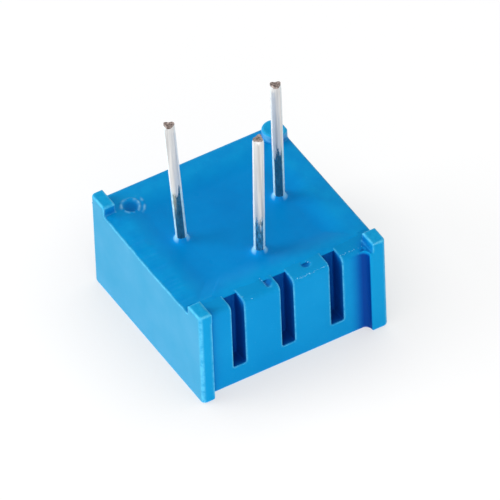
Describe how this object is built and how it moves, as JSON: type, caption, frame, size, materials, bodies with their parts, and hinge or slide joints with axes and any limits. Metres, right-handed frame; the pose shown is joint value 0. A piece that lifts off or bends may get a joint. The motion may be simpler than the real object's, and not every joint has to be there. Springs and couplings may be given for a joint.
{
  "type": "trimmer potentiometer",
  "caption": "Square single-turn trimmer potentiometer lying on its slotted round adjuster, with wire pins standing up from its sealed back between corner feet.",
  "frame": {"origin": "centre of the square footprint, on the plane of the adjuster-side face that it lies on", "axes": "+Z from the adjuster-side face towards the pins' tips; +X along the side that has the lead slots, which faces -Y"},
  "size_m": [0.0094, 0.0094, 0.0116],
  "materials": {
    "housing_plastic": "satin moulded plastic, bright blue",
    "sealing_resin": "cast resin, blue, slightly glossy",
    "tinned_wire": "bright tinned copper wire",
    "rotor_plastic": "off-white moulded plastic",
    "seal_rubber": "black rubber",
    "spring_alloy": "stamped copper alloy, bright",
    "alumina": "fired white alumina",
    "resistive_film": "fired black cermet film",
    "conductor_film": "fired silver conductor film",
    "solder": "soft solder"
  },
  "bodies": {
    "housing": {"housing": "housing_plastic", "resin_seal": "sealing_resin", "pin_1": "tinned_wire", "pin_2": "tinned_wire", "pin_3": "tinned_wire", "substrate": "alumina", "resistive_track": "resistive_film", "collector": "conductor_film", "end_pad_1": "conductor_film", "end_pad_3": "conductor_film", "solder_1": "solder", "solder_2": "solder", "solder_3": "solder"},
    "rotor": {"rotor": "rotor_plastic", "o_ring": "seal_rubber", "contact_spring": "spring_alloy"}
  },
  "joints": [
    {"name": "rotor_turn", "type": "hinge", "parent": "housing", "child": "rotor", "pos_m": [0, 0, 0.001], "axis": [0, 0, 1], "range_deg": [-155, 155]}
  ]
}
